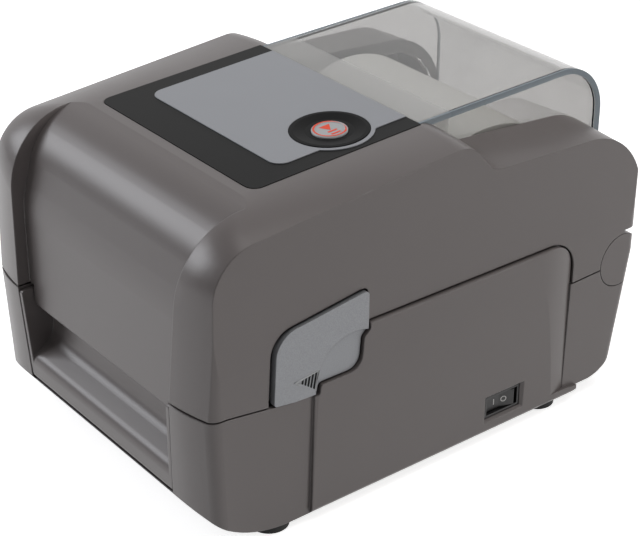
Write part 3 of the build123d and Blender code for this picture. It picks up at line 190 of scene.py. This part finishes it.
class Finish:
    """A material under construction."""

    def __init__(self, name):
        self.material = bpy.data.materials.new(name)
        self.material.use_nodes = True
        self.tree = self.material.node_tree
        self.tree.nodes.clear()

    def add(self, kind, settings=None, sockets=None, output=0):
        """One node: settings first, then the values or links of its sockets."""
        node = self.tree.nodes.new("ShaderNode" + kind)
        for name, value in (settings or {}).items():
            if name == "stops":
                self.set_stops(node.color_ramp, value)
            else:
                setattr(node, name, value)
        for name, value in (sockets or {}).items():
            plug(self.tree, node.inputs[name], value)
        return Signal(self.tree, node.outputs[output])

    def set_stops(self, ramp, stops):
        for extra in range(len(stops) - len(ramp.elements)):
            ramp.elements.new(0.5)
        for element, (place, shade) in zip(ramp.elements, stops):
            element.position = place
            element.color = shade

    def place(self):
        """Where the surface is, in the printer's frame."""
        return self.add("TexCoord", output=3)

    def noise(self, size, detail=2.0, roughness=0.5):
        """Smooth random values whose blobs are about this many metres across."""
        return self.add("TexNoise", None, {
            "Vector": self.place(), "Scale": 1 / size, "Detail": detail, "Roughness": roughness,
        })

    def ramp(self, value, *stops):
        return self.add("ValToRGB", {"stops": stops}, {"Fac": value})

    def mix(self, share, first, second):
        """First colour where share is 0, second where it is 1."""
        return self.add("Mix", {"data_type": "RGBA"}, {0: share, 6: first, 7: second}, output=2)

    def bump(self, height, depth, normal=None):
        """Surface relief of this depth in metres."""
        sockets = {"Height": height, "Distance": depth, "Strength": 1.0}
        if normal:
            sockets["Normal"] = normal
        return self.add("Bump", None, sockets)

    def soft_edges(self, radius):
        """Normals that round every edge by this radius, as a mould leaves it."""
        return self.add("Bevel", {"samples": 6}, {"Radius": radius})

    def shade_gaps(self, tone, gain=2.2, cut=0.35, reach=2.5 * MM):
        """The tone on open surfaces, nearly black deep in gaps narrower than the reach."""
        open_air = self.add("AmbientOcclusion", {"samples": 6}, {"Distance": reach}, output=1)
        return self.mix(open_air * gain - cut, SEAM_SHADE, tone)

    def done(self, shader):
        self.tree.links.new(shader.socket, self.add_output().inputs["Surface"])
        return self.material

    def add_output(self):
        return self.tree.nodes.new("ShaderNodeOutputMaterial")


print("material builder ready")

# %% [markdown]
# The case is moulded in a warm grey plastic whose tool was spark eroded, which
# leaves a fine, even grain. A photo texture would fix the grain to one size and
# place, so noise in the printer's own frame makes it: one noise for the relief,
# and a broad, weak one that keeps large panels from looking computed. Little
# light gets out of the narrow seams between two mouldings, so they look black.
# Ambient occlusion finds such places, and the colour goes down in them.

# %% Moulded plastics
def moulded(name, shade, roughness, grain=0.35 * MM, relief=0.012 * MM, edge=0.5 * MM):
    """A plastic moulding with a fine grain and slightly rounded edges."""
    finish = Finish(name)
    cloud = finish.noise(60 * MM, detail=1.0)
    fine = finish.noise(grain)
    darker = tuple(c * 0.93 for c in shade[:3]) + (1.0,)
    lighter = tuple(min(c * 1.05, 1.0) for c in shade[:3]) + (1.0,)
    tone = finish.mix(cloud * 0.6 + fine * 0.4, darker, lighter)
    shader = finish.add("BsdfPrincipled", None, {
        "Base Color": finish.shade_gaps(tone),
        "Roughness": (fine - 0.5) * 0.12 + roughness,
        "Normal": finish.bump(fine, relief, finish.soft_edges(edge)),
    })
    return finish.done(shader)


case_plastic = moulded("case_plastic", colour(107, 101, 100), 0.34, edge=0.9 * MM)
black_plastic = moulded("black_plastic", colour(30, 30, 31), 0.35)
inner_plastic = moulded("inner_plastic", colour(52, 51, 51), 0.5)
acetal = moulded("acetal", colour(226, 222, 212), 0.38, relief=0.004 * MM)
rubber = moulded("rubber", colour(38, 38, 38), 0.8, grain=0.6 * MM, relief=0.03 * MM)
print("moulded finishes ready")

# %% [markdown]
# The release latches are painted silver. Metal flakes in the paint give it a
# speckle that is finer than a millimetre, light and dark, on a satin ground. The
# flakes could be real metal in the shader, but a low Metallic value and the
# speckle in colour and roughness read the same at arm's length. The gap shading
# is softer here, so that it also draws the edge of the shallow finger scoop.

# %% Silver paint
def silver_paint():
    finish = Finish("silver_paint")
    flake = finish.noise(0.45 * MM, detail=3.0, roughness=0.7)
    speckle = finish.ramp(flake, (0.3, colour(140, 142, 146)), (0.7, colour(166, 168, 172)))
    shader = finish.add("BsdfPrincipled", None, {
        "Base Color": finish.shade_gaps(speckle, gain=1.6, cut=0.4),
        "Metallic": 0.25,
        "Roughness": flake * 0.2 + 0.36,
        "Normal": finish.bump(flake, 0.015 * MM, finish.soft_edges(0.5 * MM)),
    })
    return finish.done(shader)


latch_paint = silver_paint()

# %% [markdown]
# The control panel is a printed film: a black border with a satin silver-grey
# field. Film has a fine even tooth, much shallower than a moulding's grain. Its
# ink is matt, so the black stays black under the lights: each film has its own
# gloss, which is the shader's specular level.

# %% Printed film
def printed_film(name, shade, roughness, metallic=0.0, gloss=0.3):
    finish = Finish(name)
    tooth = finish.noise(0.2 * MM)
    cloud = finish.noise(35 * MM, detail=1.0)
    paler = tuple(c * 1.04 for c in shade[:3]) + (1.0,)
    shader = finish.add("BsdfPrincipled", None, {
        "Base Color": finish.mix(cloud, shade, paler),
        "Metallic": metallic,
        "Roughness": (tooth - 0.5) * 0.1 + roughness,
        "Specular IOR Level": gloss,
        "Normal": finish.bump(tooth, 0.002 * MM, finish.soft_edges(0.15 * MM)),
    })
    return finish.done(shader)


overlay_film = printed_film("overlay_film", colour(24, 24, 24), 0.45, gloss=0.12)
plate_film = printed_film("plate_film", colour(148, 150, 155), 0.34, metallic=0.2)
ring_film = printed_film("ring_film", colour(14, 14, 15), 0.5, gloss=0.1)
button_face = printed_film("button_face", colour(176, 178, 180), 0.35)
# The latch arrows' colours are painted light: the near black in the moulded slots is painted shade, and the
# paler rim is a painted highlight.
painted_slot_shade = printed_film("painted_slot_shade", colour(10, 10, 10), 0.6, gloss=0.1)
painted_rim_highlight = printed_film("painted_rim_highlight", colour(186, 188, 190), 0.4)
orange_print = printed_film("orange_print", colour(238, 74, 38), 0.38)
white_print = printed_film("white_print", colour(232, 232, 230), 0.45)
print("films ready")

# %% [markdown]
# The window is one clear, slightly smoked sheet bent over the roll. A glass
# shader with real thickness bends what is behind it, as the real sheet does. Its
# first centimetres are frosted, over the lip that it is fixed by. Its cut edges
# collect light and look blue grey, and that light is painted: an opaque blue grey
# where the sheet ends. Both are masks of place. Light has to reach the roll, and
# clear plastic casts almost no shadow, so shadow rays and the light that bounces
# inside pass straight through.

# %% Window plastic
low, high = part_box("clear_window")
SHEET_EDGE = high.x - 1.2 * MM
FROST_END = low.y + 20 * MM
FROST = 0.4
# How much painted edge light covers the sheet's cut edges.
PAINTED_EDGE_LIGHT = 0.85


def window_plastic():
    finish = Finish("window_plastic")
    haze = finish.noise(25 * MM, detail=2.0)
    x, y, z = finish.place().parts()
    clear = finish.add("BsdfPrincipled", None, {
        "Base Color": colour(192, 191, 190),
        "Roughness": haze * 0.03 + 0.01,
        "IOR": 1.49,
        "Transmission Weight": 1.0,
    })
    pale = finish.add("BsdfPrincipled", None, {"Base Color": colour(186, 186, 184), "Roughness": 0.5})
    frosted = finish.add("MixShader", None, {0: (y < FROST_END) * FROST, 1: clear, 2: pale})
    # Painted light: an opaque blue grey where the sheet ends stands for the light that its cut edges
    # collect.
    edge = finish.add("BsdfPrincipled", None, {"Base Color": colour(118, 132, 142), "Roughness": 0.2})
    sheet = finish.add("MixShader", None, {0: (x.unsigned() > SHEET_EDGE) * PAINTED_EDGE_LIGHT, 1: frosted, 2: edge})
    passed = finish.add("BsdfTransparent", None, {"Color": colour(250, 250, 249)})
    shadow = finish.add("LightPath", output=1)
    bounce = finish.add("LightPath", output=2)
    lighting = shadow.math("MAXIMUM", shadow, bounce)
    return finish.done(finish.add("MixShader", None, {0: lighting, 1: sheet, 2: passed}))


window_clear = window_plastic()

# %% [markdown]
# Inside are steel, aluminium, a circuit board, card and paper. Drawn or ground
# metal is streaked along one direction, which a noise squeezed in that direction
# gives.

# %% Metals, board and paper
def drawn_metal(name, shade, roughness):
    """Metal with streaks along X, as rolled, turned or ground stock has."""
    finish = Finish(name)
    squeezed = finish.add("Mapping", None, {"Vector": finish.place(), "Scale": (60.0, 2500.0, 2500.0)})
    streak = finish.add("TexNoise", None, {"Vector": squeezed, "Scale": 1.0, "Detail": 2.0})
    shader = finish.add("BsdfPrincipled", None, {
        "Base Color": shade,
        "Metallic": 1.0,
        "Roughness": (streak - 0.5) * 0.2 + roughness,
        "Normal": finish.bump(streak, 0.004 * MM, finish.soft_edges(0.2 * MM)),
    })
    return finish.done(shader)


def circuit_board():
    """Green lacquer over copper tracks that run in blocks."""
    finish = Finish("circuit_board")
    tracks = finish.add("TexBrick", None, {
        "Vector": finish.place(), "Scale": 1 / (7 * MM),
        "Color1": colour(18, 92, 52), "Color2": colour(22, 104, 60), "Mortar": colour(12, 70, 38),
    })
    shader = finish.add("BsdfPrincipled", None, {"Base Color": tracks, "Roughness": 0.3})
    return finish.done(shader)


def paper(name, shade, relief):
    """Paper or card: matt, with a soft uneven fibre."""
    finish = Finish(name)
    fibre = finish.noise(0.5 * MM, detail=4.0, roughness=0.65)
    darker = tuple(c * 0.96 for c in shade[:3]) + (1.0,)
    shader = finish.add("BsdfPrincipled", None, {
        "Base Color": finish.mix(fibre, darker, shade),
        "Roughness": 0.75,
        "Normal": finish.bump(fibre, relief),
    })
    return finish.done(shader)


steel = drawn_metal("steel", colour(190, 190, 192), 0.35)
aluminium = drawn_metal("aluminium", colour(205, 206, 210), 0.42)
tin = drawn_metal("tin", colour(186, 187, 188), 0.28)
motor_black = moulded("motor_black", colour(42, 42, 44), 0.45)
board_green = circuit_board()
label_paper = paper("label_paper", colour(250, 250, 247), 0.006 * MM)
card = paper("card", colour(176, 142, 104), 0.02 * MM)
print("inner finishes ready")

# %% [markdown]
# The record that came with the printer gives every part a material slot. One
# table from slot to finish therefore dresses all of them, and a part that is
# added later takes its finish with no further work.

# %% Dress the parts
FINISHES = {
    "case": case_plastic, "clear": window_clear, "overlay": overlay_film, "plate": plate_film,
    "latch": latch_paint, "button": button_face, "ring": ring_film, "black": black_plastic,
    "inner": inner_plastic, "gear": acetal, "rubber": rubber, "steel": steel, "alu": aluminium,
    "motor": motor_black, "board": board_green, "socket": tin, "paper": label_paper, "card": card,
}
slot_of = {part["node"]: part["material_slot"] for part in frame["record"]["subparts"]}
for name, part in nodes.items():
    part.data.materials.clear()
    part.data.materials.append(FINISHES[slot_of[name]])
print("dressed", len(nodes), "parts")

# %% [markdown]
# Printed marks are thin films on a moulding. Each is drawn as a flat curve, whose
# fill takes care of holes, turned into a mesh, and then every point is dropped
# onto the part beneath, so that the mark follows a slope or a curve.

# %% Marks on a surface
def drop(part, start, direction):
    """Where a ray from start first meets a part."""
    hit, place, normal, face = part.ray_cast(start, direction)
    if not hit:
        raise ValueError(f"no surface of {part.name} below {tuple(start)}")
    return place


def mark(name, part, loops, origin, across, upward, finish, proud=0.06 * MM, sunk=0.1 * MM):
    """Closed thin mesh of flat loops (millimetres), dropped onto a part."""
    flat = bpy.data.curves.new(name, "CURVE")
    flat.dimensions = "2D"
    flat.fill_mode = "BOTH"
    flat.extrude = 1.0
    for loop in loops:
        spline = flat.splines.new("POLY")
        spline.points.add(len(loop) - 1)
        for point, (u, v) in zip(spline.points, loop):
            point.co = (u, v, 0, 1)
        spline.use_cyclic_u = True
    drawn = bpy.data.objects.new(name, flat)
    mesh = bpy.data.meshes.new_from_object(drawn)
    bpy.data.objects.remove(drawn)
    away = across.cross(upward)
    for vertex in mesh.vertices:
        above = origin + (across * vertex.co.x + upward * vertex.co.y) * MM
        ground = drop(part, above + away * 20 * MM, -away)
        vertex.co = ground + away * (proud if vertex.co.z > 0 else -sunk)
    mesh.materials.append(finish)
    piece = bpy.data.objects.new(name, mesh)
    scene.collection.objects.link(piece)
    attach(piece, part["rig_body"])
    return piece


def circle(radius, count=72, centre=(0, 0)):
    """Loop of points round a circle."""
    return [(centre[0] + radius * math.cos(math.tau * k / count),
             centre[1] + radius * math.sin(math.tau * k / count)) for k in range(count)]


def bar(u, v, width, height):
    """Rectangle whose middle is at (u, v)."""
    return [(u - width / 2, v - height / 2), (u + width / 2, v - height / 2),
            (u + width / 2, v + height / 2), (u - width / 2, v + height / 2)]


low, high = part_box("play_button")
button_middle = (low + high) / 2
X_AXIS, Y_AXIS, Z_AXIS = Vector((1, 0, 0)), Vector((0, 1, 0)), Vector((0, 0, 1))
mark("button_rim", nodes["play_button"], [circle(8.45), circle(7.45)], button_middle, X_AXIS, Y_AXIS,
     orange_print)
symbols = [[(-4.8, -3.3), (0.7, 0.0), (-4.8, 3.3)], bar(2.0, 0, 1.3, 5.5), bar(4.9, 0, 1.3, 5.5)]
mark("button_symbols", nodes["play_button"], symbols, button_middle, X_AXIS, Y_AXIS,
     orange_print)
print("button marked")

# %% [markdown]
# Each latch carries a moulded arrow that shows which way to pull. It is a raised
# rim round five slots. The slots are drawn near black as painted shade, and the
# rim paler than the latch as a painted highlight.

# %% Latch arrows
ARROW_TIP = (-88.5, 83.6)
ARROW_TOP = (-74.2, 85.9)
ARROW_LOW = (-76.2, 74.6)
RIM_SHARES = (-0.12, 0.1)  # outer and inner edge, as shares of the way to the middle
SLOT_COUNT = 5
SLOT_INSET = 0.16
SLOT_START = 0.18  # the first slot's distance from the tip, as a share of the arrow
SLOT_FILL = 0.62  # how much of its pitch a slot takes


def along(first, second, share):
    return tuple(a + (b - a) * share for a, b in zip(first, second))


def inset_triangle(share):
    middle = tuple(sum(values) / 3 for values in zip(ARROW_TIP, ARROW_TOP, ARROW_LOW))
    return [along(point, middle, share) for point in (ARROW_TIP, ARROW_TOP, ARROW_LOW)]


def arrow_slots(count, share):
    """Bars across the arrow, parallel to its base, that carry the slots' painted shade."""
    tip, top, low_corner = inset_triangle(share)
    slots = []
    for k in range(count):
        pitch = (1 - SLOT_START) / count
        near = SLOT_START + pitch * k
        far = near + pitch * SLOT_FILL
        slots.append([along(tip, top, near), along(tip, top, far),
                      along(tip, low_corner, far), along(tip, low_corner, near)])
    return slots


for side, name in ((1, "right"), (-1, "left")):
    latch = nodes["latch_" + name]
    origin = Vector((side * 98 * MM, 0, 0))
    rim = [inset_triangle(RIM_SHARES[0]), inset_triangle(RIM_SHARES[1])]
    slots = arrow_slots(SLOT_COUNT, SLOT_INSET)
    if side < 0:
        rim = [[(-u, v) for u, v in loop] for loop in rim]
        slots = [[(-u, v) for u, v in loop] for loop in slots]
    across = Y_AXIS * side
    # The raised rim gets a painted highlight, and the slots get painted shade.
    mark("arrow_rim_" + name, latch, rim, origin, across, Z_AXIS, painted_rim_highlight, proud=0.3 * MM)
    mark("arrow_slots_" + name, latch, slots, origin, across, Z_AXIS, painted_slot_shade)
print("arrows on both latches")

# %% [markdown]
# The rocker switch has the two usual signs, a line for on and a ring for off.

# %% Rocker signs
low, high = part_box("power_rocker")
rocker_middle = (low + high) / 2
signs = [circle(1.7, 36, (2.6, 0)), circle(1.2, 36, (2.6, 0)), bar(-3.6, 0, 0.5, 3.4)]
mark("rocker_signs", nodes["power_rocker"], signs, rocker_middle, Y_AXIS, Z_AXIS, white_print)
print("rocker marked")

# %% [markdown]
# A pale seamless floor stands for the studio. It is one large bent sheet, because
# a flat floor and a separate wall would meet in a line. Rays from the camera, and
# those that mirror or pass through the window, see it brighter, so that it goes
# to white round the printer and still keeps the soft contact shadow. All other
# rays see a grey, which keeps the light that it throws on the printer's sides low.

# %% Floor
def studio_floor():
    finish = Finish("studio_floor")
    cloudy = finish.mix(finish.noise(0.8), colour(247, 247, 247), colour(250, 250, 250))
    white = finish.add("BsdfDiffuse", None, {"Color": cloudy})
    grey = finish.add("BsdfDiffuse", None, {"Color": colour(160, 160, 160)})
    camera_ray = finish.add("LightPath")
    glossy = finish.add("LightPath", output=3)
    through = finish.add("LightPath", output=6)
    glow = finish.add("Emission", None, {"Color": (1, 1, 1, 1), "Strength": 0.7})
    lit = finish.add("AddShader", None, {0: white, 1: glow})
    seen = camera_ray.math("MAXIMUM", camera_ray, glossy.math("MAXIMUM", glossy, through))
    return finish.done(finish.add("MixShader", None, {0: seen, 1: grey, 2: lit}))


def sweep_floor(half=4.0, front=-3.0, rear=3.0, bend=1.2, height=4.0, steps=16):
    """Floor that curves up into a wall behind the printer."""
    path = [(front, 0.0)]
    for k in range(steps + 1):
        turn = math.pi / 2 * k / steps
        path.append((rear - bend + bend * math.sin(turn), bend - bend * math.cos(turn)))
    path.append((rear, height))
    turned = Matrix.Rotation(AZIMUTH, 3, "Z")
    points = [turned @ Vector((side * half, y, z)) for y, z in path for side in (-1, 1)]
    faces = [(2 * k, 2 * k + 1, 2 * k + 3, 2 * k + 2) for k in range(len(path) - 1)]
    mesh = bpy.data.meshes.new("floor")
    mesh.from_pydata(points, [], faces)
    mesh.shade_smooth()
    return mesh


floor = bpy.data.objects.new("floor", sweep_floor())
floor.data.materials.append(studio_floor())
scene.collection.objects.link(floor)
print("floor ready")

# %% [markdown]
# Three soft boxes light the printer. The large, cool one hangs ahead and to the
# left: it lights the front and draws the broad highlight along the rounded front
# edge. A low one behind on the right lights the side evenly, and leaves the corner
# that faces the camera darker than both. One above keeps the top from going flat.
# A dim world fills the shadows. It looks white to the camera and through the
# window, so that the floor's end never shows, also from behind.

# %% Lights
def soft_box(name, place, target, size, power, tint):
    """A rectangular lamp that faces a point."""
    lamp = bpy.data.lights.new(name, "AREA")
    lamp.color = tint
    lamp.shape = "RECTANGLE"
    lamp.size, lamp.size_y = size
    lamp.energy = power
    box = bpy.data.objects.new(name, lamp)
    box.location = place
    box.rotation_mode = "QUATERNION"
    box.rotation_quaternion = (Vector(target) - Vector(place)).to_track_quat("-Z", "Y")
    scene.collection.objects.link(box)
    return box


soft_box("front_left_box", (-1.5, -1.3, 1.1), (0, 0, 0.1), (1.2, 1.0), 23, (0.94, 0.96, 1.0))
soft_box("right_rear_box", (1.5, 1.05, 0.72), (0, 0, 0.1), (0.8, 0.5), 10, (1.0, 0.97, 0.95))
soft_box("top_box", (0.2, 0.3, 1.9), (0, 0, 0.1), (1.4, 1.4), 11, (1.0, 0.98, 0.97))


def studio_world(fill):
    """Even dim light from all round, which itself looks white to the camera."""
    world = bpy.data.worlds.new("studio")
    world.use_nodes = True
    tree = world.node_tree
    tree.nodes.clear()
    shades = []
    for strength in (fill, 1.0):
        shade = tree.nodes.new("ShaderNodeBackground")
        shade.inputs["Color"].default_value = (1.0, 1.0, 1.0, 1.0)
        shade.inputs["Strength"].default_value = strength
        shades.append(shade.outputs[0])
    rays = tree.nodes.new("ShaderNodeLightPath")
    camera_ray = Signal(tree, rays.outputs["Is Camera Ray"])
    seen = camera_ray.math("MAXIMUM", camera_ray, Signal(tree, rays.outputs["Is Transmission Ray"]))
    blend = tree.nodes.new("ShaderNodeMixShader")
    plug(tree, blend.inputs[0], seen)
    tree.links.new(shades[0], blend.inputs[1])
    tree.links.new(shades[1], blend.inputs[2])
    tree.links.new(blend.outputs[0], tree.nodes.new("ShaderNodeOutputWorld").inputs["Surface"])
    return world


scene.world = studio_world(0.2)
print("lights ready")
